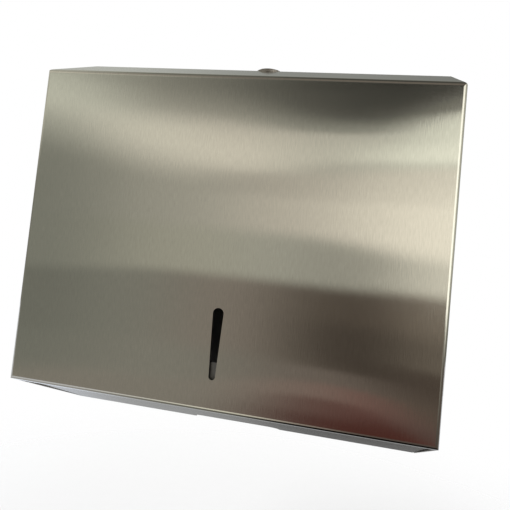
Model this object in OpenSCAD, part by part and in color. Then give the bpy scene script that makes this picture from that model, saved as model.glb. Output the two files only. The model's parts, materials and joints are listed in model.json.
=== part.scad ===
// Wall dispenser for folded paper towels, in brushed stainless steel sheet.
// The frame: X to the right, Y into the wall, Z up. The origin is on the wall plane, at the centre of the
// four wall screws. The flat front stands at -Y, and the cover swings forward and down on two rivets.

/* [Cover] */
// Overall width of the cover
body_w = 280; // [250:1:340]
// Depth from the wall to the flat front
body_d = 130; // [125:1:160]
// Height of the flat front
front_h = 214; // [170:1:300]
// How far back the top slope runs
top_slope_d = 54; // [50:1:80]
// How much the top slope rises
top_slope_h = 24.5; // [10:0.5:45]
// How far back the bottom slope runs
bottom_slope_d = 93; // [80:1:94]
// How much the bottom slope drops
bottom_slope_h = 39; // [22:0.5:50]
// Thickness of the steel sheet
sheet_t = 1; // [0.7:0.1:1.2]
// Outside radius of the bends and of the ground side edges
bend_r = 2.5; // [1.5:0.1:4]
// Outside radius of the bend between the front and the top slope
top_bend_r = 4; // [1.5:0.1:6]
// Length of the return under the lower front edge
return_len = 8; // [6:0.5:14]
// Gap between the cover's rear edges and the wall
wall_gap = 1.5; // [1:0.1:3]
// Gap between the cover's sides and the housing
side_gap = 1; // [0.7:0.1:2]

/* [View slot] */
// Overall length of the slot
slot_len = 45; // [30:1:80]
// Width of the slot's round upper end
slot_top_w = 7; // [5:0.1:12]
// Width of the slot's round lower end
slot_low_w = 4.3; // [3:0.1:8]
// Height of the slot's foot over the lower front edge
slot_rise = 19; // [12:0.5:60]
// Distance of the slot to the right of the middle
slot_x = 1.8; // [-20:0.1:20]

/* [Housing] */
// Gap between the cover's top and the housing's top flange
top_gap = 2; // [1.5:0.1:4]
// Depth of the top flange
top_flange_d = 14; // [8:1:18]
// Depth of the side flanges at the top
flange_top_d = 34; // [22:1:50]
// Radius of the side flanges' upper corners
flange_corner_r = 12; // [4:1:16]
// Spacing of the wall screws across
screw_pitch_x = 200; // [120:1:210]
// Spacing of the wall screws up
screw_pitch_z = 190; // [100:1:200]
// Diameter of the wall screw holes
screw_hole_d = 5.5; // [4:0.1:7]

/* [Tray] */
// Gap between the tray's fence and the cover's front
fence_gap = 1.5; // [1.2:0.1:2.5]
// Height of the fence's top over the lower front edge
fence_rise = 29.5; // [22:0.5:40]
// Gap between the tray and the cover's return
return_gap = 0.6; // [0.5:0.1:1]
// Height of the tray's rear flange and end flanges
tray_flange_h = 12; // [8:1:13]
// Length of the step where the end flanges grow taller towards the front
tray_step = 20; // [12:1:24]
// Overall width of the towel opening
opening_w = 230; // [120:1:236]
// Depth of the towel opening
opening_d = 26; // [20:1:28]
// Depth of the ledge behind the opening
ledge_d = 8; // [7:0.5:9]
// Width of the finger notch
notch_w = 70; // [40:1:100]
// How far the notch reaches into the slope
notch_d = 14; // [8:1:20]
// Radius of the notch's corners
notch_r = 10; // [5:1:14]
// Height of the smooth collar round the opening
collar_h = 3; // [2:0.5:5]

/* [Towel guides] */
// Distance of the guides' blades from the tray's ends
guide_inset = 17; // [16:1:31]
// Height of the guides
guide_h = 170; // [80:1:190]
// Depth of the guides
guide_d = 70; // [40:1:80]
// Width of a guide's foot on the back panel
guide_foot = 15; // [10:1:15]
// Gap between the tray's rear flange and the guides
guide_lift = 6; // [3:1:20]
// How far a guide's upper edge slopes down to its front
guide_slope = 20; // [10:1:30]
// Radius of a guide's front corners
guide_corner_r = 12; // [4:1:16]

/* [Hinge] */
// Height of the hinge over the cover's lowest edge
hinge_rise = 20; // [18:0.5:24]
// Diameter of the rivet's shoulder
shoulder_d = 6; // [5:0.1:8]
// Diameter of the rivet's outer head
rivet_head_d = 12; // [10:0.5:14]
// Height of the rivet's outer head
rivet_head_h = 2; // [1.2:0.1:3]
// Running clearance of the cover on the shoulder, on the radius
shoulder_play = 0.08; // [0.05:0.01:0.1]

/* [Lock] */
// Distance of the lock's axis to the right of the middle
lock_x = 4.2; // [-20:0.1:20]
// Distance of the lock's axis behind the top slope
lock_set = 11.5; // [11.2:0.1:14]
// Diameter of the lock's head
lock_head_d = 22; // [20:0.5:24]
// Height of the lock's head
lock_head_h = 3; // [2:0.1:4]
// Diameter of the barrel
barrel_d = 18; // [16:0.5:18]
// Width of the barrel across its flats
barrel_flats = 16; // [14:0.5:16]
// Length of the barrel below the sheet's outer face
barrel_len = 22; // [18:1:24]
// Diameter of the plug
plug_d = 12; // [10:0.5:12]
// Running clearance of the plug, on the radius
plug_play = 0.08; // [0.05:0.01:0.1]
// Reach of the cam from the lock's axis
cam_reach = 24; // [20:1:26]
// Width of the cam
cam_w = 14; // [12:1:16]
// Thickness of the cam
cam_t = 2; // [1.5:0.5:3]

/* [Catch] */
// Width of the catch
catch_w = 20; // [16:1:24]
// Gap between the cam and the catch
catch_gap = 0.8; // [0.6:0.1:1.2]
// Height of the catch's hook over the cam's underside
hook_h = 5; // [3:0.5:6]
// Length of the catch's foot on the back panel
catch_foot = 22; // [18:1:28]

/* [Bumpers] */
// Diameter of a bumper
bumper_d = 10; // [6:0.5:14]
// Distance of the bumpers from the tray's ends
bumper_inset = 37; // [20:1:60]

/* [Hidden] */
$fn = 64;
past = 1;          // how far a cut runs past a face
far = 400;         // further than any part of the dispenser
seat = 0.05;       // gap between a piece and the hole that it is set in
running = 0.1;     // gap between flat faces that turn on each other
brushed_steel = [0.66, 0.64, 0.60];
mill_steel = [0.70, 0.70, 0.69];
bright_chrome = [0.80, 0.80, 0.80];
black_rubber = [0.10, 0.10, 0.10];
white_nylon = [0.90, 0.90, 0.86];

// Heights, from the lowest edge to the top.
body_h = bottom_slope_h + front_h + top_slope_h;
z_low = -body_h / 2;
z_front_low = z_low + bottom_slope_h;
z_front_top = z_front_low + front_h;
z_top = z_low + body_h;

// Depths, from the flat front to the wall.
y_front = -body_d;
y_top_crest = y_front + top_slope_d;
y_low_crest = y_front + bottom_slope_d;
y_fence = y_front + sheet_t + fence_gap;

// The hinge lies at the centre of the round heel of the cover's sides.
heel_r = hinge_rise;
y_hinge = -wall_gap - heel_r;
z_hinge = z_low + hinge_rise;

// Half widths of what nests inside the cover.
half_w = body_w / 2;
half_housing = half_w - sheet_t - side_gap;
half_tray = half_housing - sheet_t;
bumper_x = half_tray - bumper_inset;
z_housing_top = z_top - sheet_t - top_gap;
z_fence_top = z_front_low + fence_rise;

// The lock, from the top down.
y_lock = y_top_crest + lock_set;
z_barrel_low = z_top - barrel_len;
z_cam_top = z_barrel_low - catch_gap / 2;
z_cam_low = z_cam_top - cam_t;
z_catch_arm = z_cam_low - catch_gap;
washer_t = 0.8;
nut_t = 5;
nut_flats = barrel_d + 4;
x_catch = lock_x + barrel_d / 2 + 3;
y_hook = y_lock - cam_w / 2 - 1.5;

function unit(v) = v / norm(v);
function left_of(u) = [-u.y, u.x];

// The corner at b of an outline that runs a, b, c anticlockwise, moved inward by d on both sides.
function inset(a, b, c, d) =
    let (n = left_of(unit(b - a)), m = left_of(unit(c - b)))
    b + d * (n + m) / (1 + n * m);

// How far a round of radius r starts from the corner at b.
function round_reach(a, b, c, r) = r * tan(acos(unit(b - a) * unit(c - b)) / 2);

// An outline with rounded corners, anticlockwise. A radius of 0 leaves a corner sharp.
module rounded(points, radii) {
    n = len(points);
    before = function (i) points[(i + n - 1) % n];
    after = function (i) points[(i + 1) % n];
    polygon([for (i = [0 : n - 1])
        let (a = before(i), b = points[i], c = after(i), reach = round_reach(a, b, c, radii[i]))
        each radii[i] == 0 ? [b] : [b - reach * unit(b - a), b + reach * unit(c - b)]]);
    for (i = [0 : n - 1])
        if (radii[i] > 0) {
            a = before(i);
            b = points[i];
            c = after(i);
            start = b - round_reach(a, b, c, radii[i]) * unit(b - a);
            translate(start + radii[i] * left_of(unit(b - a))) circle(radii[i]);
        }
}

// Runs a side view, drawn as [depth, height], across the width.
module across(w) {
    translate([-w / 2, 0, 0]) rotate([90, 0, 90]) linear_extrude(w) children();
}

// Runs a front view, drawn as [across, up], back and forth from a place [depth, height] at a rising angle.
module along(place, angle) {
    translate([0, place.x, place.y]) rotate([angle, 0, 0]) rotate([90, 0, 0])
        linear_extrude(2 * far, center = true) children();
}

// Runs a plan, drawn as [across, depth], through the whole height.
module upright() {
    translate([0, 0, z_low - past]) linear_extrude(body_h + 2 * past) children();
}

// Points along the side view of the cover, anticlockwise from the lower front edge.
cover_outline = [
    [y_front, z_front_low], [y_low_crest, z_low], [-wall_gap, z_low],
    [-wall_gap, z_top], [y_top_crest, z_top], [y_front, z_front_top]];
inner_low = inset(cover_outline[5], cover_outline[0], cover_outline[1], sheet_t);
inner_crest = inset(cover_outline[3], cover_outline[4], cover_outline[5], sheet_t);
inner_top = inset(cover_outline[4], cover_outline[5], cover_outline[0], sheet_t);
slope_grade = bottom_slope_h / bottom_slope_d;
y_return = y_front + return_len;
z_return = inner_low.y - slope_grade * (y_return - inner_low.x);

// Cuts what it is given to a width and rounds its side edges: those of the front, the top slope and the top.
module round_sides(half, radius, front, slope_foot, top) {
    below = [[-half, -far], [half, -far], [half, 0], [-half, 0]];
    intersection() {
        children();
        upright() rounded([[-half, front], [half, front], [half, past], [-half, past]], [radius, radius, 0, 0]);
        along(slope_foot, atan2(top_slope_h, top_slope_d)) rounded(below, [0, 0, radius, radius]);
        along([0, top], 0) rounded(below, [0, 0, radius, radius]);
    }
}

// What the cover encloses: it leaves the front, the top, the sides and the short return standing.
module cover_cavity() {
    round_sides(half_w - sheet_t, bend_r - sheet_t, y_front + sheet_t, inner_top, z_top - sheet_t)
        across(body_w)
            rounded([inner_low, [y_return, z_return], [y_return, z_low - past], [past, z_low - past],
                     [past, z_top - sheet_t], inner_crest, inner_top],
                    [bend_r - sheet_t, 0, 0, 0, 0, bend_r - sheet_t, top_bend_r - sheet_t]);
}

// The view slot: two round ends of different width, joined by straight sides.
// The sides cross the round ends a hair inside the tangent points, so that they meet cleanly.
module view_slot() {
    top_r = slot_top_w / 2;
    low_r = slot_low_w / 2;
    span = slot_len - top_r - low_r;
    z_foot = z_front_low + slot_rise + low_r;
    inside = 0.998;
    translate([slot_x, y_front + 2 * sheet_t, z_foot]) rotate([90, 0, 0]) linear_extrude(3 * sheet_t) {
        circle(low_r);
        translate([0, span]) circle(top_r);
        polygon([[inside * low_r, 0], [inside * top_r, span], [-inside * top_r, span], [-inside * low_r, 0]]);
    }
}

// The lock's hole, with two flats that keep the barrel from turning.
module lock_section(grow) {
    intersection() {
        circle(barrel_d / 2 + grow);
        square([barrel_flats + 2 * grow, barrel_d + 4 * grow + past], center = true);
    }
}

// One sheet, folded: flat front, top slope, top, two sides and a short return below the front.
module front_cover() {
    color(brushed_steel) difference() {
        round_sides(half_w, bend_r, y_front, [y_front, z_front_top], z_top)
            across(body_w + 2 * past) rounded(cover_outline, [bend_r, 0, heel_r, 0, bend_r, top_bend_r]);
        cover_cavity();
        view_slot();
        translate([lock_x, y_lock, z_top - 2 * sheet_t]) linear_extrude(3 * sheet_t) lock_section(0.1);
        translate([0, y_hinge, z_hinge]) rotate([0, 90, 0])
            cylinder(h = body_w + 2 * past, r = shoulder_d / 2 + shoulder_play, center = true);
    }
}

// The tray's underside, clear of the cover's return in front and level with the cover's lowest edge behind.
tray_front_z = z_front_low + (sheet_t + return_gap) * sqrt(1 + slope_grade ^ 2)
    - slope_grade * (y_fence - y_front);
tray_front = [y_fence, tray_front_z];
tray_crest = [y_low_crest, z_low];
tray_rear = [-sheet_t, z_low];
tray_grade = (tray_front.y - tray_crest.y) / (tray_crest.x - tray_front.x);

// One sheet, folded: back panel, side flanges that stand round the towels, and a narrow top flange.
module rear_housing() {
    flange_front = [y_fence + 0.5, tray_front.y - 0.5 * tray_grade];
    color(mill_steel) difference() {
        intersection() {
            across(2 * half_housing)
                rounded([flange_front, tray_crest, [0, z_low], [0, z_housing_top],
                         [-flange_top_d, z_housing_top], [flange_front.x, z_fence_top]],
                        [bend_r, 0, 0, bend_r, flange_corner_r, flange_corner_r]);
            upright() rounded([[-half_housing, y_front], [half_housing, y_front],
                               [half_housing, 0], [-half_housing, 0]], [0, 0, bend_r, bend_r]);
        }
        intersection() {
            across(2 * half_tray)
                rounded([[-far, z_low - past], [-sheet_t, z_low - past], [-sheet_t, z_housing_top - sheet_t],
                         [-top_flange_d, z_housing_top - sheet_t], [-top_flange_d, z_housing_top + past],
                         [-far, z_housing_top + past]],
                        [0, 0, bend_r - sheet_t, 0, 0, 0]);
            upright() rounded([[-half_tray, -far], [half_tray, -far], [half_tray, -sheet_t],
                               [-half_tray, -sheet_t]], [0, 0, bend_r - sheet_t, bend_r - sheet_t]);
        }
        for (x = [-1, 1], z = [-1, 1])
            translate([x * screw_pitch_x / 2, past, z * screw_pitch_z / 2]) rotate([90, 0, 0])
                cylinder(h = sheet_t + 2 * past, d = screw_hole_d);
        for (z = catch_rivet_z)
            translate([x_catch + catch_w / 2, past, z]) rotate([90, 0, 0])
                cylinder(h = sheet_t + 2 * past, r = catch_rivet_r);
        translate([0, y_hinge, z_hinge]) rotate([0, 90, 0])
            cylinder(h = body_w, r = tail_r, center = true);
    }
}

// Plan of the towel opening, grown by g on every side: a long slot with round ends, and a finger notch in front.
y_opening = -ledge_d - sheet_t - opening_d / 2;
module opening_plan(g) {
    end_x = opening_w / 2 - opening_d / 2;
    translate([0, y_opening]) {
        square([2 * end_x, opening_d + 2 * g], center = true);
        for (x = [-end_x, end_x]) translate([x, 0]) circle(opening_d / 2 + g);
    }
    rounded([[-notch_w / 2 - g, y_low_crest - notch_d - g], [notch_w / 2 + g, y_low_crest - notch_d - g],
             [notch_w / 2 + g, y_opening], [-notch_w / 2 - g, y_opening]],
            [notch_r + g, notch_r + g, 0, 0]);
}

// One sheet, folded: the fence behind the front, the sloping floor, the ledge and flanges to the housing.
module towel_tray() {
    inside = [0, sheet_t / 2];
    up = [0, sheet_t + collar_h];
    ledge_end = tray_rear - [sheet_t, 0];
    floor_bend = inset(tray_front, tray_crest, tray_rear, sheet_t);
    floor_front = inset([tray_front.x, z_fence_top], tray_front, tray_crest, sheet_t);
    color(brushed_steel) difference() {
        union() {
            difference() {
                intersection() {
                    across(2 * half_tray)
                        rounded([tray_front, tray_crest, tray_rear, tray_rear + [0, tray_flange_h],
                                 [y_low_crest, z_low + tray_flange_h],
                                 [y_low_crest - tray_step, z_low + 2 * tray_flange_h], [y_fence, z_fence_top]],
                                [bend_r, 0, bend_r, 0, 0, 0, 0]);
                    upright() rounded([[-half_tray, y_front], [half_tray, y_front],
                                       [half_tray, -sheet_t], [-half_tray, -sheet_t]],
                                      [0, 0, bend_r - sheet_t, bend_r - sheet_t]);
                }
                across(2 * (half_tray - sheet_t))
                    rounded([floor_front, floor_bend, [-2 * sheet_t, z_low + sheet_t],
                             [-2 * sheet_t, z_top], [y_fence + sheet_t, z_top]],
                            [bend_r - sheet_t, 0, bend_r - sheet_t, 0, 0]);
            }
            intersection() {
                upright() opening_plan(sheet_t);
                across(2 * half_tray)
                    polygon([tray_front + inside, tray_crest + inside, ledge_end + inside,
                             ledge_end + up, tray_crest + up, tray_front + up]);
            }
        }
        upright() opening_plan(0);
    }
}

// A folded angle: its foot lies on the back panel, and its blade keeps the towels central.
module towel_guide() {
    inner = half_tray - guide_inset;
    z_foot = z_low + tray_flange_h + guide_lift;
    color(mill_steel) intersection() {
        upright() difference() {
            rounded([[inner, -sheet_t - guide_d], [inner + guide_foot, -sheet_t - guide_d],
                     [inner + guide_foot, -sheet_t], [inner, -sheet_t]], [0, 0, 0, bend_r]);
            rounded([[inner + sheet_t, -far], [far, -far], [far, -2 * sheet_t],
                     [inner + sheet_t, -2 * sheet_t]], [0, 0, 0, bend_r - sheet_t]);
        }
        across(body_w)
            rounded([[-sheet_t - guide_d, z_foot], [-sheet_t, z_foot], [-sheet_t, z_foot + guide_h],
                     [-sheet_t - guide_d, z_foot + guide_h - guide_slope]],
                    [guide_corner_r, 0, 0, guide_corner_r]);
    }
}

// Shoulder rivet, drawn along +X from the middle: tail in the housing, shoulder in the cover, domed head outside.
tail_r = shoulder_d / 2 - 0.6;
tail_head_r = tail_r + 2;
tail_head_h = 1.2;
module hinge_rivet() {
    x_shoulder = half_housing;
    x_head = half_w + running;
    dome_r = (pow(rivet_head_d / 2, 2) + pow(rivet_head_h, 2)) / (2 * rivet_head_h);
    color(bright_chrome) translate([0, y_hinge, z_hinge]) rotate([0, 90, 0]) {
        translate([0, 0, half_tray - tail_head_h]) cylinder(h = tail_head_h, r = tail_head_r);
        translate([0, 0, half_tray - tail_head_h]) cylinder(h = x_head - half_tray, r = tail_r - seat);
        translate([0, 0, x_shoulder]) cylinder(h = x_head - x_shoulder + rivet_head_h / 2, r = shoulder_d / 2);
        intersection() {
            translate([0, 0, x_head]) cylinder(h = rivet_head_h, r = rivet_head_d / 2);
            translate([0, 0, x_head + rivet_head_h - dome_r]) sphere(dome_r);
        }
    }
}

// Plastic spacer between the housing's flange and the cover's side.
module hinge_washer() {
    color(white_nylon) translate([half_housing, y_hinge, z_hinge]) rotate([0, 90, 0]) difference() {
        cylinder(h = side_gap - running, r = shoulder_d / 2 + 4);
        translate([0, 0, -past]) cylinder(h = side_gap + 2 * past, r = shoulder_d / 2 + seat);
    }
}

// The lock's head, with a shallow dome, and the barrel below the sheet.
module lock_barrel() {
    edge = 1;
    color(bright_chrome) translate([lock_x, y_lock, z_top]) difference() {
        union() {
            rotate_extrude()
                polygon([[0, 0], [lock_head_d / 2, 0], [lock_head_d / 2, lock_head_h - edge],
                         [lock_head_d / 2 - edge, lock_head_h - edge / 4], [lock_head_d / 2 - 3 * edge, lock_head_h],
                         [0, lock_head_h]]);
            translate([0, 0, -barrel_len]) linear_extrude(barrel_len + edge) lock_section(0);
        }
        translate([0, 0, -barrel_len - past])
            cylinder(h = barrel_len + lock_head_h + 2 * past, r = plug_d / 2 + plug_play);
    }
}

// Toothed washer between the sheet and the nut.
module lock_washer() {
    teeth = 12;
    outer = nut_flats / 2 - 0.3;
    color(mill_steel) translate([lock_x, y_lock, z_top - sheet_t - washer_t]) linear_extrude(washer_t) difference() {
        circle(outer);
        circle(barrel_d / 2 + seat);
        for (i = [0 : teeth - 1])
            rotate(i * 360 / teeth) translate([outer, 0]) circle(0.8);
    }
}

// Thin hexagon nut on the barrel.
module lock_nut() {
    corner_r = nut_flats / sqrt(3);
    color(mill_steel) translate([lock_x, y_lock, z_top - sheet_t - washer_t - nut_t]) difference() {
        intersection() {
            cylinder(h = nut_t, r = corner_r, $fn = 6);
            cylinder(h = nut_t, r1 = nut_flats / 2, r2 = nut_flats / 2 + 2 * nut_t);
        }
        translate([0, 0, -past]) cylinder(h = nut_t + 2 * past, r = barrel_d / 2 + seat);
    }
}

// What the key turns: a plug with a keyway above, and a square tail that drives the cam.
tail_w = plug_d * 0.55;
module lock_plug() {
    recess = 0.6;
    keyway = [plug_d * 0.62, 1.8];
    color(bright_chrome) translate([lock_x, y_lock, 0]) difference() {
        union() {
            translate([0, 0, z_barrel_low])
                cylinder(h = barrel_len + lock_head_h - recess, r = plug_d / 2);
            translate([-tail_w / 2, -tail_w / 2, z_cam_low]) cube([tail_w, tail_w, z_barrel_low - z_cam_low]);
        }
        translate([-keyway.x / 2, -keyway.y / 2, z_top - 6]) cube([keyway.x, keyway.y, 6 + lock_head_h]);
        translate([0, 0, z_cam_low - past]) cylinder(h = 10, r = cam_screw_r + seat);
    }
}

// Flat cam on the plug's square tail. It points at the wall here, which is its unlocked position.
module lock_cam() {
    color(mill_steel) translate([lock_x, y_lock, z_cam_low]) linear_extrude(cam_t) difference() {
        union() {
            circle(cam_w / 2);
            translate([-cam_w / 2, 0]) square([cam_w, cam_reach - cam_w / 2]);
            rounded([[-cam_w / 2, cam_reach / 2], [cam_w / 2, cam_reach / 2],
                     [cam_w / 2, cam_reach], [-cam_w / 2, cam_reach]], [0, 0, 4, 4]);
        }
        square(tail_w + 2 * seat, center = true);
    }
}

// Screw that holds the cam on the plug.
cam_screw_r = 2;
module cam_screw() {
    head_h = 2.4;
    color(bright_chrome) translate([lock_x, y_lock, z_cam_low]) difference() {
        union() {
            translate([0, 0, -head_h]) cylinder(h = head_h, r = tail_w / 2 + 1.2);
            cylinder(h = 8, r = cam_screw_r);
        }
        translate([-far / 2, -0.5, -head_h - past]) cube([far, 1, 1 + past]);
    }
}

// Bracket on the back panel: foot, arm under the cam, and a hook in front of where the locked cam lies.
catch_rivet_r = 2;
catch_rivet_z = [z_catch_arm - 7, z_catch_arm - catch_foot + 5];
module lock_catch() {
    hook_top = z_cam_low + hook_h;
    arm_low = z_catch_arm - sheet_t;
    foot_low = z_catch_arm - catch_foot;
    y_middle = y_hook / 2;
    color(mill_steel) translate([x_catch + catch_w / 2, 0, 0]) {
        across(catch_w) difference() {
            rounded([[y_hook - sheet_t, arm_low], [y_middle, arm_low],
                     [y_middle, hook_top], [y_hook - sheet_t, hook_top]], [bend_r, 0, 0, 0]);
            rounded([[y_hook, z_catch_arm], [past, z_catch_arm],
                     [past, hook_top + past], [y_hook, hook_top + past]], [bend_r - sheet_t, 0, 0, 0]);
        }
        difference() {
            across(catch_w) difference() {
                rounded([[y_middle, foot_low], [-sheet_t, foot_low], [-sheet_t, z_catch_arm],
                         [y_middle, z_catch_arm]], [0, 0, bend_r, 0]);
                rounded([[y_middle - past, foot_low - past], [-2 * sheet_t, foot_low - past],
                         [-2 * sheet_t, arm_low], [y_middle - past, arm_low]], [0, 0, bend_r - sheet_t, 0]);
            }
            for (z = catch_rivet_z)
                translate([0, past, z]) rotate([90, 0, 0]) cylinder(h = 4 * sheet_t, r = catch_rivet_r);
        }
    }
}

// Rivet through the catch's foot, flush with the back of the housing.
module catch_rivet(z) {
    head_h = 1.4;
    color(bright_chrome) translate([x_catch + catch_w / 2, 0, z]) rotate([90, 0, 0]) {
        translate([0, 0, seat]) cylinder(h = 2 * sheet_t, r = catch_rivet_r - seat);
        translate([0, 0, 2 * sheet_t]) cylinder(h = head_h, r1 = catch_rivet_r + 1.8, r2 = catch_rivet_r + 0.6);
    }
}

// Rubber pad on the outside of the fence, where the closed cover comes to rest.
module bumper(x) {
    z = (tray_front.y + z_fence_top) / 2;
    color(black_rubber) translate([x, y_fence, z]) rotate([90, 0, 0])
        cylinder(h = fence_gap - 0.3, r1 = bumper_d / 2, r2 = bumper_d / 2 - 0.8);
}

front_cover();
rear_housing();
towel_tray();
mirror([1, 0, 0]) towel_guide();  // left_towel_guide
towel_guide();  // right_towel_guide
mirror([1, 0, 0]) hinge_rivet();  // left_hinge_rivet
hinge_rivet();  // right_hinge_rivet
mirror([1, 0, 0]) hinge_washer();  // left_hinge_washer
hinge_washer();  // right_hinge_washer
lock_barrel();
lock_washer();
lock_nut();
lock_plug();
lock_cam();
cam_screw();
lock_catch();
catch_rivet(catch_rivet_z[0]);  // upper_catch_rivet
catch_rivet(catch_rivet_z[1]);  // lower_catch_rivet
bumper(-bumper_x);  // left_bumper
bumper(bumper_x);  // right_bumper
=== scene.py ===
"""Looks of the folded paper towel dispenser: its finishes, the room it mirrors, and the camera."""
import json
import math

import bmesh
import bpy
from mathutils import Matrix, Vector


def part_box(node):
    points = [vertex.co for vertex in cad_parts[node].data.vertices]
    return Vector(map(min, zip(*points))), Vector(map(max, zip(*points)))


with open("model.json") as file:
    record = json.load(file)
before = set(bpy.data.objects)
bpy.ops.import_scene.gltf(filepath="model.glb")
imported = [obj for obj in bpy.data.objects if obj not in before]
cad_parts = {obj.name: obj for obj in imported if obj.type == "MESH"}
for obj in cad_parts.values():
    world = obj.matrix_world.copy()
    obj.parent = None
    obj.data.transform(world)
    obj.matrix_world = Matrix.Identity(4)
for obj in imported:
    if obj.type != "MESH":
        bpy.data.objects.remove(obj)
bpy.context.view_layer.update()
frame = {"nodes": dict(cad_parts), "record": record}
MM = 0.001
BLACK = (0, 0, 0, 1)
WHITE = (1, 1, 1, 1)

COVER_LOW, COVER_HIGH = (Vector(corner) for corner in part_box("front_cover"))

# Camera: it stands close in front, a little to the right, and leans to its side.
FRAME_PX = 510
FOCAL_PX = 467.8
AIM_PX = (275.3, 225.0)  # the picture point that the camera looks straight at
SENSOR_MM = 36.0
NEAREST_SEEN = 0.02
CAMERA_PLACE = (0.0860, -0.4165, 0.0045)
CAMERA_TURN = (92.979, -5.681, 10.276)


def make_camera():
    data = bpy.data.cameras.new("camera")
    data.sensor_width = SENSOR_MM
    data.lens = FOCAL_PX / FRAME_PX * SENSOR_MM
    data.shift_x = 0.5 - AIM_PX[0] / FRAME_PX
    data.shift_y = AIM_PX[1] / FRAME_PX - 0.5
    data.clip_start = NEAREST_SEEN
    camera = bpy.data.objects.new("camera", data)
    camera.location = CAMERA_PLACE
    camera.rotation_euler = [math.radians(angle) for angle in CAMERA_TURN]
    bpy.context.scene.collection.objects.link(camera)
    bpy.context.scene.camera = camera


class Nodes:
    """A short way to build a shader: most calls add one node and return its output."""

    def __init__(self, tree):
        self.tree = tree

    def add(self, kind, **settings):
        node = self.tree.nodes.new(kind)
        for name, value in settings.items():
            setattr(node, name, value)
        return node

    def put(self, socket, value):
        """Link an output to a socket, or set the socket to a plain value."""
        if isinstance(value, bpy.types.NodeSocket):
            self.tree.links.new(value, socket)
        else:
            socket.default_value = value

    def math(self, operation, *values):
        node = self.add("ShaderNodeMath", operation=operation)
        for socket, value in zip(node.inputs, values):
            self.put(socket, value)
        return node.outputs[0]

    def product(self, first, *others):
        for other in others:
            first = self.math("MULTIPLY", first, other)
        return first

    def vector(self, operation, *values):
        node = self.add("ShaderNodeVectorMath", operation=operation)
        for socket, value in zip(node.inputs, values):
            self.put(socket, value)
        return node.outputs[0]

    def split(self, vector):
        node = self.add("ShaderNodeSeparateXYZ")
        self.put(node.inputs[0], vector)
        return node.outputs

    def join(self, x, y, z):
        node = self.add("ShaderNodeCombineXYZ")
        for socket, value in zip(node.inputs, (x, y, z)):
            self.put(socket, value)
        return node.outputs[0]

    def place(self, output="Object"):
        """The place on the object, or with "Normal" its surface's normal there."""
        return self.add("ShaderNodeTexCoord").outputs[output]

    def noise(self, vector, scale, detail=2.0, roughness=0.5):
        node = self.add("ShaderNodeTexNoise")
        self.put(node.inputs["Vector"], vector)
        node.inputs["Scale"].default_value = scale
        node.inputs["Detail"].default_value = detail
        node.inputs["Roughness"].default_value = roughness
        return node.outputs["Fac"]

    def remap(self, value, span, to_span, smooth=False):
        """Carry a value from one span to another; it stays inside the second."""
        node = self.add("ShaderNodeMapRange")
        if smooth:
            node.interpolation_type = "SMOOTHSTEP"
        self.put(node.inputs["Value"], value)
        names = ("From Min", "From Max", "To Min", "To Max")
        for name, number in zip(names, (*span, *to_span)):
            self.put(node.inputs[name], number)
        return node.outputs["Result"]

    def mix(self, factor, a, b):
        node = self.add("ShaderNodeMix", data_type="RGBA")
        self.put(node.inputs["Factor"], factor)
        self.put(node.inputs[6], a)
        self.put(node.inputs[7], b)
        return node.outputs[2]

    def tint(self, color, value):
        """The color times a number."""
        node = self.add("ShaderNodeMix", data_type="RGBA", blend_type="MULTIPLY")
        node.inputs["Factor"].default_value = 1
        self.put(node.inputs[6], (*color, 1))
        self.put(node.inputs[7], self.join(value, value, value))
        return node.outputs[2]

    def bump(self, height, distance, strength=1.0, on=None):
        """The normal of a surface that a height pattern roughens, on top of another bump if any."""
        node = self.add("ShaderNodeBump")
        node.inputs["Strength"].default_value = strength
        node.inputs["Distance"].default_value = distance
        self.put(node.inputs["Height"], height)
        if on is not None:
            self.put(node.inputs["Normal"], on)
        return node.outputs[0]


def new_material(name):
    material = bpy.data.materials.new(name)
    material.use_nodes = True
    nodes = Nodes(material.node_tree)
    shader = material.node_tree.nodes["Principled BSDF"]
    return material, nodes, shader


# Spans that hold most of a noise's values, from narrow to wide
CORE = (0.35, 0.65)
MOST = (0.3, 0.7)
WIDE = (0.25, 0.75)

UNIT = (0, 1)

# A sheet's face looks sideways where its normal's X, without its sign, is past this ...
SIDE_FACE = 0.7
# ... and to the front or back where its Y is, with a soft step between the two numbers.
FRONT_FACE = (0.8, 0.95)

# Brushed steel: how much of a streak is fine, and how far streaks change tone and roughness
FINE_SHARE = 0.4
STREAK_TONE = (1 - 0.055, 1 + 0.055)
STREAK_ROUGHNESS = 0.01

# The cover's front bows a little, which only the mirrored room shows.
BOW_RISE = 1.0 * MM
BOW_MIDDLE_Z = 0.00725
BOW_HALF_HEIGHT = 0.107
BOW_POWER_X = 2.6
BOW_POWER_Z = 2.0


def grain_frame(nodes, horizontal=False):
    """Coordinates across and along the brushing, and the direction across it, for folded sheet."""
    place = nodes.add("ShaderNodeTexCoord")
    normal = place.outputs["Normal"]
    x, y, z = nodes.split(place.outputs["Object"])
    nx, _, nz = nodes.split(normal)
    side = nodes.math("GREATER_THAN", nodes.math("ABSOLUTE", nx), SIDE_FACE)
    front = nodes.math("SUBTRACT", 1, side)
    down = nodes.math("SUBTRACT", z, nodes.product(y, front))
    across = nodes.math("ADD", nodes.product(x, front), nodes.product(y, side))
    grain = nodes.join(0, nodes.math("ABSOLUTE", nz), 1)
    spread = nodes.vector("CROSS_PRODUCT", normal, grain)
    if horizontal:
        across, down = down, across
        spread = nodes.vector("CROSS_PRODUCT", normal, spread)
    turn = nodes.add("ShaderNodeVectorTransform", vector_type="VECTOR",
                     convert_from="OBJECT", convert_to="WORLD")
    nodes.put(turn.inputs[0], spread)
    return across, down, nodes.vector("NORMALIZE", turn.outputs[0])


def hairlines(nodes, across, along, width, length, detail=2.0):
    """Streaks of the given width and length, in metres."""
    streak = nodes.join(nodes.math("DIVIDE", across, width), nodes.math("DIVIDE", along, length), 0)
    return nodes.noise(streak, 1.0, detail)


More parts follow.
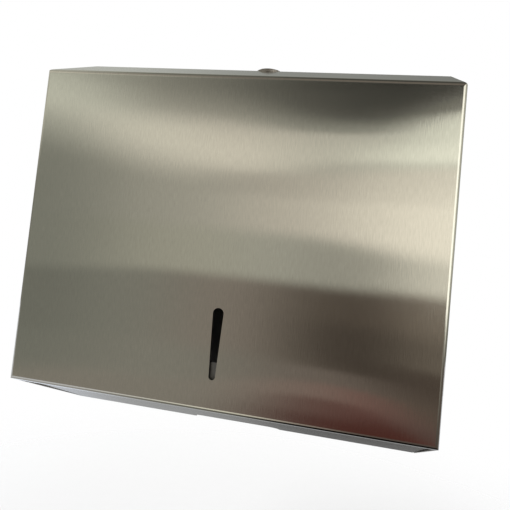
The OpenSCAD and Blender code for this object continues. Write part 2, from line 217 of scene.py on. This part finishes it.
def bow(nodes, place):
    """Height of the cover's front, which is stiff at its edges and stands proud in the middle."""
    middle_x = (COVER_LOW.x + COVER_HIGH.x) / 2
    half_width = (COVER_HIGH.x - COVER_LOW.x) / 2
    x, _, z = nodes.split(place)
    room = []
    for way, middle, half, power in ((x, middle_x, half_width, BOW_POWER_X),
                                     (z, BOW_MIDDLE_Z, BOW_HALF_HEIGHT, BOW_POWER_Z)):
        share = nodes.math("DIVIDE", nodes.math("SUBTRACT", way, middle), half)
        fall = nodes.math("POWER", nodes.math("ABSOLUTE", share), power)
        room.append(nodes.math("MAXIMUM", nodes.math("SUBTRACT", 1, fall), 0))
    return nodes.product(*room, BOW_RISE)


def brushed_steel(name, color, roughness, anisotropy,
                  bowed=False, horizontal=False, painted_front_shade=0.0):
    """Satin steel with hairlines: color and roughness vary streak by streak, and smears dull it.

    painted_front_shade is painted shade: it takes that share of the light from the faces that look
    to the front or back, for the dim inside of the dispenser; these faces are also made rougher.
    """
    material, nodes, shader = new_material(name)
    place = nodes.place()
    across, along, tangent = grain_frame(nodes, horizontal)
    fine = hairlines(nodes, across, along, width=0.3 * MM, length=14 * MM)
    fleck = hairlines(nodes, across, along, width=0.7 * MM, length=5 * MM, detail=1.0)
    smear = nodes.noise(place, scale=9.0, detail=3.0, roughness=0.6)
    streak = nodes.math("ADD", nodes.product(fine, FINE_SHARE),
                        nodes.product(fleck, 1 - FINE_SHARE))
    tone = nodes.product(nodes.remap(streak, MOST, STREAK_TONE),
                         nodes.remap(smear, MOST, (0.97, 1.02)))
    polish = (roughness + STREAK_ROUGHNESS, roughness - STREAK_ROUGHNESS)
    rough = nodes.remap(streak, WIDE, polish)
    rough = nodes.math("ADD", rough, nodes.remap(smear, (0.4, 0.7), (0, 0.015)))
    # Painted shade: faces that look to the front or back are darkened for the dim inside, and made
    # rougher.
    if painted_front_shade:
        _, ny, _ = nodes.split(nodes.place("Normal"))
        facing = nodes.math("ABSOLUTE", ny)
        tone = nodes.product(tone, nodes.remap(facing, FRONT_FACE, (1, 1 - painted_front_shade)))
        rough = nodes.math("ADD", rough, nodes.remap(facing, FRONT_FACE, (0, 0.25)))
    nodes.put(shader.inputs["Base Color"], nodes.tint(color, tone))
    nodes.put(shader.inputs["Roughness"], rough)
    shader.inputs["Metallic"].default_value = 1
    shader.inputs["Anisotropic"].default_value = anisotropy
    nodes.put(shader.inputs["Tangent"], tangent)
    sheet = nodes.bump(bow(nodes, place), distance=1.0) if bowed else None
    nodes.put(shader.inputs["Normal"], nodes.bump(fine, distance=0.02 * MM, on=sheet))
    return material


def rolled_steel(name, color, roughness):
    """Sheet as rolled: cloudy, with faint long marks."""
    material, nodes, shader = new_material(name)
    across, along, _ = grain_frame(nodes)
    cloud = nodes.noise(nodes.place(), scale=26.0, detail=4.0, roughness=0.6)
    marks = hairlines(nodes, across, along, width=0.8 * MM, length=60 * MM)
    tone = nodes.math("ADD", nodes.remap(cloud, MOST, (0.92, 1.04)),
                      nodes.remap(marks, MOST, (-0.03, 0.03)))
    nodes.put(shader.inputs["Base Color"], nodes.tint(color, tone))
    polish = (roughness + 0.05, roughness - 0.04)
    nodes.put(shader.inputs["Roughness"], nodes.remap(cloud, MOST, polish))
    shader.inputs["Metallic"].default_value = 1
    nodes.put(shader.inputs["Normal"], nodes.bump(marks, distance=0.01 * MM))
    return material


def turned_metal(name, color, roughness, speck_size, wear):
    """Small metal parts: fine turning marks, rubbed spots and dull specks."""
    material, nodes, shader = new_material(name)
    place = nodes.place()
    specks = nodes.noise(place, scale=1 / speck_size, detail=3.0, roughness=0.65)
    marks = nodes.noise(place, scale=2200.0)
    tone = nodes.remap(specks, CORE, (1 - wear, 1.03))
    nodes.put(shader.inputs["Base Color"], nodes.tint(color, tone))
    polish = (roughness + 0.12 * wear, roughness)
    nodes.put(shader.inputs["Roughness"], nodes.remap(specks, CORE, polish))
    shader.inputs["Metallic"].default_value = 1
    nodes.put(shader.inputs["Normal"], nodes.bump(marks, distance=0.006 * MM, strength=0.6))
    return material


def soft_plastic(name, color, roughness, grain_size):
    """Moulded rubber or nylon: a fine matt grain and slight cloudiness."""
    material, nodes, shader = new_material(name)
    place = nodes.place()
    grain = nodes.noise(place, scale=1 / grain_size)
    cloud = nodes.noise(place, scale=160.0)
    nodes.put(shader.inputs["Base Color"], nodes.tint(color, nodes.remap(cloud, MOST, (0.9, 1.06))))
    polish = (roughness - 0.06, roughness + 0.06)
    nodes.put(shader.inputs["Roughness"], nodes.remap(grain, MOST, polish))
    nodes.put(shader.inputs["Normal"], nodes.bump(grain, distance=0.03 * MM, strength=0.5))
    return material


def dress_nodes():
    """Give each CAD node the finish that the record names for it."""
    finishes = {
        "brushed_steel": brushed_steel("cover_steel", (0.60, 0.58, 0.50),
                                       roughness=0.09, anisotropy=1.0, bowed=True),
        # The tray's front and back faces get painted shade for the dim inside of the dispenser.
        "tray_steel": brushed_steel("tray_steel", (0.60, 0.59, 0.56), roughness=0.20,
                                    anisotropy=0.8, horizontal=True, painted_front_shade=0.74),
        "mill_steel": rolled_steel("mill_steel", (0.57, 0.57, 0.56), roughness=0.36),
        "rivet_steel": turned_metal("rivet_steel", (0.62, 0.62, 0.60),
                                    roughness=0.24, speck_size=1.6 * MM, wear=0.12),
        "lock_chrome": turned_metal("lock_chrome", (0.35, 0.32, 0.28),
                                    roughness=0.44, speck_size=0.9 * MM, wear=0.42),
        "plated_steel": turned_metal("plated_steel", (0.64, 0.64, 0.58),
                                     roughness=0.32, speck_size=1.2 * MM, wear=0.18),
        "white_nylon": soft_plastic("white_nylon", (0.84, 0.83, 0.78),
                                    roughness=0.42, grain_size=0.4 * MM),
        "black_rubber": soft_plastic("black_rubber", (0.035, 0.035, 0.036),
                                     roughness=0.62, grain_size=0.3 * MM),
    }
    for part in frame["record"]["subparts"]:
        node = frame["nodes"][part["node"]]
        node.material_slots[0].material = finishes[part["material_slot"]]


# Studio: a pale floor under the hung part, and a room of large soft cards that only the metal sees.
# Places are in metres from the part. In the tables below a stop is an x, and what holds there.
FRONT_Y = -2.2
BACK_Y = 1.1
LEFT_X = -2.6
RIGHT_X = 1.9
LOW_Z = -1.35
HIGH_Z = 1.5
PAST_CORNER = 1  # how far the front card runs on past the room's corners
LOW_CARD_Z = -0.416
LOW_CARD_FRONT_Y = -0.8

STEEL_RETURNS = 0.6
CREAM = (264, 0.0, -0.04)  # the light behind the pale line on the cover's right edge


def shown(level, red=0.0, blue=-0.08):
    """The light behind a picture tone from 0 to 255, on steel; red and blue are against green."""
    s = level / 255
    light = (s / 12.92 if s <= 0.04045 else ((s + 0.055) / 1.055) ** 2.4) / STEEL_RETURNS
    return (light * (1 + red), light, light * (1 + blue), 1)


def card(name, corners):
    """A glowing card that the camera, the shadows and the soft light pass by."""
    mesh = bpy.data.meshes.new(name)
    mesh.from_pydata(corners, [], [(0, 1, 2, 3)])
    piece = bpy.data.objects.new(name, mesh)
    bpy.context.scene.collection.objects.link(piece)
    piece.visible_camera = False
    piece.visible_shadow = False
    piece.visible_diffuse = False
    material = bpy.data.materials.new(name)
    material.use_nodes = True
    tree = material.node_tree
    tree.nodes.remove(tree.nodes["Principled BSDF"])
    nodes = Nodes(tree)
    glow = nodes.add("ShaderNodeEmission")
    tree.links.new(glow.outputs[0], tree.nodes["Material Output"].inputs["Surface"])
    mesh.materials.append(material)
    x, y, z = nodes.split(nodes.place())
    return nodes, glow.inputs["Color"], x, y, z


def upright_card(name, start, end):
    """A card that stands on the line between two points of the room's plan."""
    return card(name, [(*start, LOW_Z), (*end, LOW_Z), (*end, HIGH_Z), (*start, HIGH_Z)])


def across_room(nodes, x, *stops):
    """A colour that changes from left to right; stops are (x, level, red, blue) as for shown."""
    color = shown(*stops[0][1:])
    for (x0, *_), (x1, *tone) in zip(stops, stops[1:]):
        color = nodes.mix(nodes.remap(x, (x0, x1), UNIT, smooth=True), color, shown(*tone))
    return color


def profile(nodes, x, *stops):
    """A number that changes from left to right; stops are (x, number)."""
    height = stops[0][1]
    for (x0, z0), (x1, z1) in zip(stops, stops[1:]):
        height = nodes.math("ADD", nodes.remap(x, (x0, x1), (0, z1 - z0), smooth=True), height)
    return height


def above(nodes, z, edge, soft):
    """1 above an edge and 0 below it, with a soft step."""
    step = nodes.math("DIVIDE", nodes.math("SUBTRACT", z, edge), soft)
    return nodes.remap(step, (-1, 1), UNIT, smooth=True)


def below(nodes, z, edge, soft):
    return nodes.math("SUBTRACT", 1, above(nodes, z, edge, soft))


def band(nodes, z, low, high, soft):
    """1 between two heights and 0 elsewhere."""
    return nodes.product(above(nodes, z, low, soft), below(nodes, z, high, soft))


def stack(nodes, z, edge, soft, lower, upper):
    """The lower colour below an edge and the upper colour above it."""
    return nodes.mix(above(nodes, z, edge, soft), lower, upper)


def darken(nodes, color, share):
    return nodes.mix(share, color, BLACK)


def front_foot(nodes, x, z):
    """The lowest part of the room in front: a dark foot over a red floor, darkest at the right."""
    foot = across_room(nodes, x, (-1.75, 109, -0.03), (-0.9, 119, 0.02), (0.0, 91, 0.2),
                       (0.5, 70, 0.3, -0.15))
    low = across_room(nodes, x, (-1.75, 104, -0.03), (-1.1, 116, -0.01), (-0.6, 114, 0.13),
                      (0.0, 66, 0.23, -0.15), (0.2, 60, 0.25, -0.15), (0.5, 102, 0.18, -0.14))
    edge = profile(nodes, x, (-0.4, -0.59), (0.0, -0.605), (0.2, -0.60), (0.5, -0.52))
    soft = profile(nodes, x, (-0.4, 0.06), (0.0, 0.012))
    tone = stack(nodes, z, edge, soft, foot, low)
    dip = band(nodes, z, profile(nodes, x, (-0.1, -0.55), (0.3, -0.66)), -0.36, 0.06)
    dip = nodes.product(dip, nodes.remap(x, (-0.4, 0.1), (0, 0.26), smooth=True))
    tone = darken(nodes, tone, dip)

    reddish = across_room(nodes, x, (-0.75, 117, 0.06), (-0.05, 98, 0.36), (0.2, 79, 0.85),
                          (0.5, 66, 0.45))
    edge = profile(nodes, x, (-0.9, -0.80), (0.0, -0.68), (0.2, -0.68), (0.6, -0.79))
    tone = stack(nodes, z, edge, 0.018, reddish, tone)
    red = across_room(nodes, x, (-0.6, 110, 0.10), (-0.05, 66, 0.80), (0.25, 60, 1.20))
    edge = profile(nodes, x, (-0.9, -0.95), (-0.1, -0.765), (0.1, -0.755), (0.6, -0.86))
    tone = stack(nodes, z, edge, 0.015, red, tone)
    deep = across_room(nodes, x, (-0.45, 84, 0.3), (-0.2, 52, 1.0), (0.05, 35, 2.3, -0.2))
    edge = profile(nodes, x, (0.0, -0.86), (0.3, -0.80), (0.6, -0.88))
    share = nodes.remap(x, (-0.6, -0.2), (0, 0.9), smooth=True)
    return nodes.mix(nodes.product(below(nodes, z, edge, 0.03), share), tone, deep)


def front_wall(nodes, x, z, tone):
    """The middle of the room in front: a pale wall with a dim rail, over the given foot."""
    middle = across_room(nodes, x, (-1.75, 116, -0.03), (-0.75, 150, 0.01, -0.11), (-0.3, 149),
                         (-0.05, 137, 0.01), (0.2, 140, 0.01), (0.5, 192, 0.03))
    edge = profile(nodes, x, (-1.7, -0.23), (-0.9, -0.175), (0.1, -0.175), (0.4, -0.155))
    tone = stack(nodes, z, edge, 0.04, tone, middle)
    panel = across_room(nodes, x, (-1.75, 117, -0.03), (-0.8, 150, 0.02), (-0.3, 169, 0.06),
                        (0.5, 219, 0.05))
    edge = profile(nodes, x, (-0.6, 0.09), (-0.1, 0.09), (0.5, 0.02))
    tone = stack(nodes, z, edge, 0.05, tone, panel)
    wall = across_room(nodes, x, (-1.75, 154, -0.03), (-1.15, 192, 0.03), (-0.6, 193, 0.05),
                       (-0.1, 172, 0.02), (0.5, 226, -0.02))
    edge = profile(nodes, x, (-1.75, 0.57), (-0.8, 0.42), (-0.3, 0.415), (0.4, 0.485))
    soft = profile(nodes, x, (-1.3, 0.15), (0.0, 0.03))
    tone = stack(nodes, z, edge, soft, tone, wall)
    share = profile(nodes, x, (-1.1, 0.0), (-0.5, 0.14), (-0.1, 0.05), (0.2, 0.32), (0.5, 0.12))
    tone = darken(nodes, tone, nodes.product(above(nodes, z, 0.60, 0.06), share))

    rail_foot = 0.29
    rail_top = profile(nodes, x, (-0.6, 0.42), (0.2, 0.515))
    rail = nodes.product(band(nodes, z, rail_foot, rail_top, 0.02),
                         nodes.remap(x, (-0.9, -0.4), UNIT, smooth=True),
                         nodes.remap(z, (rail_foot, rail_top), (0.08, 0.25)))
    return darken(nodes, tone, rail)


def front_ceiling(nodes, x, z, tone):
    """The highest part of the room in front: a dim ceiling with a cornice, over the given wall."""
    cornice = across_room(nodes, x, (-1.6, 184, -0.02), (-0.8, 156, 0.03), (-0.1, 121, -0.01),
                          (0.5, 108, 0.01))
    ceiling = across_room(nodes, x, (-1.75, 182, -0.03), (-1.0, 119, 0.01), (-0.2, 69, 0.01),
                          (0.1, 60, 0.01))
    edge = profile(nodes, x, (-0.6, 0.79), (0.1, 0.72), (0.6, 0.86))
    soft = profile(nodes, x, (-0.7, 0.16), (0.0, 0.04))
    upper = stack(nodes, z, edge, soft, cornice, ceiling)
    edge = profile(nodes, x, (0.1, 0.80), (0.6, 0.90))
    share = nodes.remap(x, (-0.2, 0.2), (0, 0.22), smooth=True)
    upper = darken(nodes, upper, nodes.product(above(nodes, z, edge, 0.01), share))
    share = profile(nodes, x, (-1.5, 0.2), (-1.1, 0.04), (-0.6, 0.06), (-0.1, 0.2))
    upper = darken(nodes, upper, nodes.product(above(nodes, z, 0.915, 0.015), share))
    edge = profile(nodes, x, (-0.8, 0.71), (-0.2, 0.67), (0.15, 0.665), (0.6, 0.775))
    soft = profile(nodes, x, (-0.8, 0.08), (0.0, 0.01))
    return stack(nodes, z, edge, soft, tone, upper)


def front_card():
    """The room in front, with a bright right end that makes the pale line on the right edge."""
    nodes, color, x, _, z = upright_card("front_card", (LEFT_X - PAST_CORNER, FRONT_Y),
                                         (RIGHT_X + PAST_CORNER, FRONT_Y))
    tone = front_ceiling(nodes, x, z, front_wall(nodes, x, z, front_foot(nodes, x, z)))
    end = stack(nodes, z, -0.75, 0.3, shown(52, 0.1), shown(122, 0.05))
    end = stack(nodes, z, -0.28, 0.08, end, shown(*CREAM))
    end = stack(nodes, z, 0.95, 0.2, end, shown(205, 0.0, -0.04))
    nodes.put(color, nodes.mix(nodes.remap(x, (0.82, 0.92), UNIT, smooth=True), tone, end))


def side_cards():
    """The room at the left and the right, which the cover's sides and edges mirror."""
    nodes, color, _, _, z = upright_card("left_card", (LEFT_X, FRONT_Y), (LEFT_X, BACK_Y))
    nodes.put(color, stack(nodes, z, 0.45, 0.25, shown(112), shown(165)))
    nodes, color, _, y, z = upright_card("right_card", (RIGHT_X, FRONT_Y), (RIGHT_X, BACK_Y))
    front = stack(nodes, z, -0.35, 0.15, shown(80, 0.1), shown(*CREAM))
    rear = stack(nodes, z, -0.2, 0.3, shown(84, 0.05), shown(160))
    nodes.put(color, stack(nodes, y, -1.0, 0.12, front, rear))


def upper_cards():
    """The room behind and overhead, which the cover's top strip and its upper bend mirror."""
    strip = (-1.0, 152, -0.02, -0.07), (-0.1, 112, -0.02, -0.07), (0.4, 102, -0.02, -0.07)
    nodes, color, x, _, z = upright_card("back_card", (LEFT_X, BACK_Y), (RIGHT_X, BACK_Y))
    low = across_room(nodes, x, (-1.0, 184, -0.05, 0.2), (-0.2, 136), (0.6, 96))
    nodes.put(color, stack(nodes, z, 0.0, 0.2, low, across_room(nodes, x, *strip)))

    nodes, color, x, y, _ = card("ceiling_card", [
        (LEFT_X, FRONT_Y, HIGH_Z), (RIGHT_X, FRONT_Y, HIGH_Z),
        (RIGHT_X, BACK_Y, HIGH_Z), (LEFT_X, BACK_Y, HIGH_Z)])
    dark = across_room(nodes, x, (-1.15, 158), (-0.65, 100), (0.0, 64))
    pale = across_room(nodes, x, (-1.5, 190, 0.02), (-0.9, 128, 0.06), (-0.35, 97, 0.12),
                       (0.25, 92, 0.12))
    tone = nodes.mix(band(nodes, y, -1.7, -0.5, 0.1), dark, pale)
    nodes.put(color, stack(nodes, y, 0.45, 0.15, tone, across_room(nodes, x, *strip)))


def low_card():
    """The room below, which the tray's underside and the cover's lower bend mirror."""
    nodes, color, x, y, _ = card("low_card", [
        (LEFT_X, LOW_CARD_FRONT_Y, LOW_CARD_Z), (LEFT_X, BACK_Y, LOW_CARD_Z),
        (RIGHT_X, BACK_Y, LOW_CARD_Z), (RIGHT_X, LOW_CARD_FRONT_Y, LOW_CARD_Z)])
    near = across_room(nodes, x, (-0.45, 176, -0.02, 0.12), (-0.1, 196, 0.02), (0.03, 108, 0.2),
                       (0.12, 66, 0.3))
    under = across_room(nodes, x, (-0.35, 146, 0, 0.05), (-0.12, 100), (0.03, 5), (0.15, 5),
                        (0.4, 90))
    behind = across_room(nodes, x, (-0.62, 204, -0.06, 0.12), (-0.3, 139, -0.02, 0.02),
                         (0.1, 115, 0, 0), (0.22, 118, 0, 0), (0.42, 190, 0, 0.15))
    edge = profile(nodes, x, (-0.4, -0.27), (-0.2, -0.36), (0.0, -0.27))
    tone = stack(nodes, y, edge, 0.03, near, under)
    edge = profile(nodes, x, (-0.3, -0.02), (0.0, 0.32))
    nodes.put(color, stack(nodes, y, edge, 0.04, tone, behind))


FLOOR_PLACE = (0, -0.06, -0.42)
FLOOR_RADIUS = 6.0
FLOOR_COLOR = (0.96, 0.96, 0.96)
FLOOR_FADE = (0.25, 0.95)  # distances at which the floor starts to fade and is gone


def make_floor():
    """A round pale floor that fades into the white background away from the part."""
    mesh = bpy.data.meshes.new("floor")
    form = bmesh.new()
    bmesh.ops.create_circle(form, cap_ends=True, segments=96, radius=FLOOR_RADIUS)
    form.to_mesh(mesh)
    form.free()
    floor = bpy.data.objects.new("floor", mesh)
    floor.location = FLOOR_PLACE
    bpy.context.scene.collection.objects.link(floor)
    floor.visible_glossy = False
    material, nodes, shader = new_material("floor")
    place = nodes.place()
    speckle = nodes.noise(place, scale=60.0, detail=3.0)
    tone = nodes.remap(speckle, UNIT, (0.99, 1.01))
    nodes.put(shader.inputs["Base Color"], nodes.tint(FLOOR_COLOR, tone))
    nodes.put(shader.inputs["Roughness"], nodes.remap(speckle, UNIT, (0.75, 0.85)))
    length = nodes.add("ShaderNodeVectorMath", operation="LENGTH")
    nodes.put(length.inputs[0], place)
    away = nodes.remap(length.outputs["Value"], FLOOR_FADE, UNIT, smooth=True)
    clear = nodes.add("ShaderNodeBsdfTransparent")
    blend = nodes.add("ShaderNodeMixShader")
    nodes.put(blend.inputs[0], away)
    tree = material.node_tree
    tree.links.new(shader.outputs[0], blend.inputs[1])
    tree.links.new(clear.outputs[0], blend.inputs[2])
    tree.links.new(blend.outputs[0], tree.nodes["Material Output"].inputs["Surface"])
    mesh.materials.append(material)


SOFT_LIGHT = 0.55
SEEN_WHITE = 1.0


def make_world():
    """White where the camera, gloss or glass looks, and plain soft light elsewhere."""
    world = bpy.data.worlds.new("studio")
    bpy.context.scene.world = world
    world.use_nodes = True
    nodes = Nodes(world.node_tree)
    background = world.node_tree.nodes["Background"]
    path = nodes.add("ShaderNodeLightPath")
    seen = nodes.math("MAXIMUM", path.outputs["Is Camera Ray"], path.outputs["Is Glossy Ray"])
    seen = nodes.math("MAXIMUM", seen, path.outputs["Is Transmission Ray"])
    nodes.put(background.inputs["Strength"], nodes.remap(seen, UNIT, (SOFT_LIGHT, SEEN_WHITE)))
    background.inputs["Color"].default_value = WHITE


def area_lamp(name, place, size, watts):
    """A round lamp that looks at the part, and that the metal doesn't mirror."""
    data = bpy.data.lights.new(name, "AREA")
    data.shape = "DISK"
    data.size = size
    data.energy = watts
    lamp = bpy.data.objects.new(name, data)
    lamp.location = place
    lamp.rotation_euler = (-Vector(place)).to_track_quat("-Z", "Y").to_euler()
    lamp.visible_glossy = False
    bpy.context.scene.collection.objects.link(lamp)


make_camera()
dress_nodes()
front_card()
side_cards()
upper_cards()
low_card()
make_floor()
make_world()
area_lamp("key", (-1.1, -1.6, 1.7), size=1.4, watts=28)
area_lamp("fill", (1.6, -1.0, 0.7), size=1.4, watts=9)
area_lamp("rim", (0.2, 1.7, 1.4), size=1.2, watts=12)

bpy.context.scene.view_settings.view_transform = "Standard"
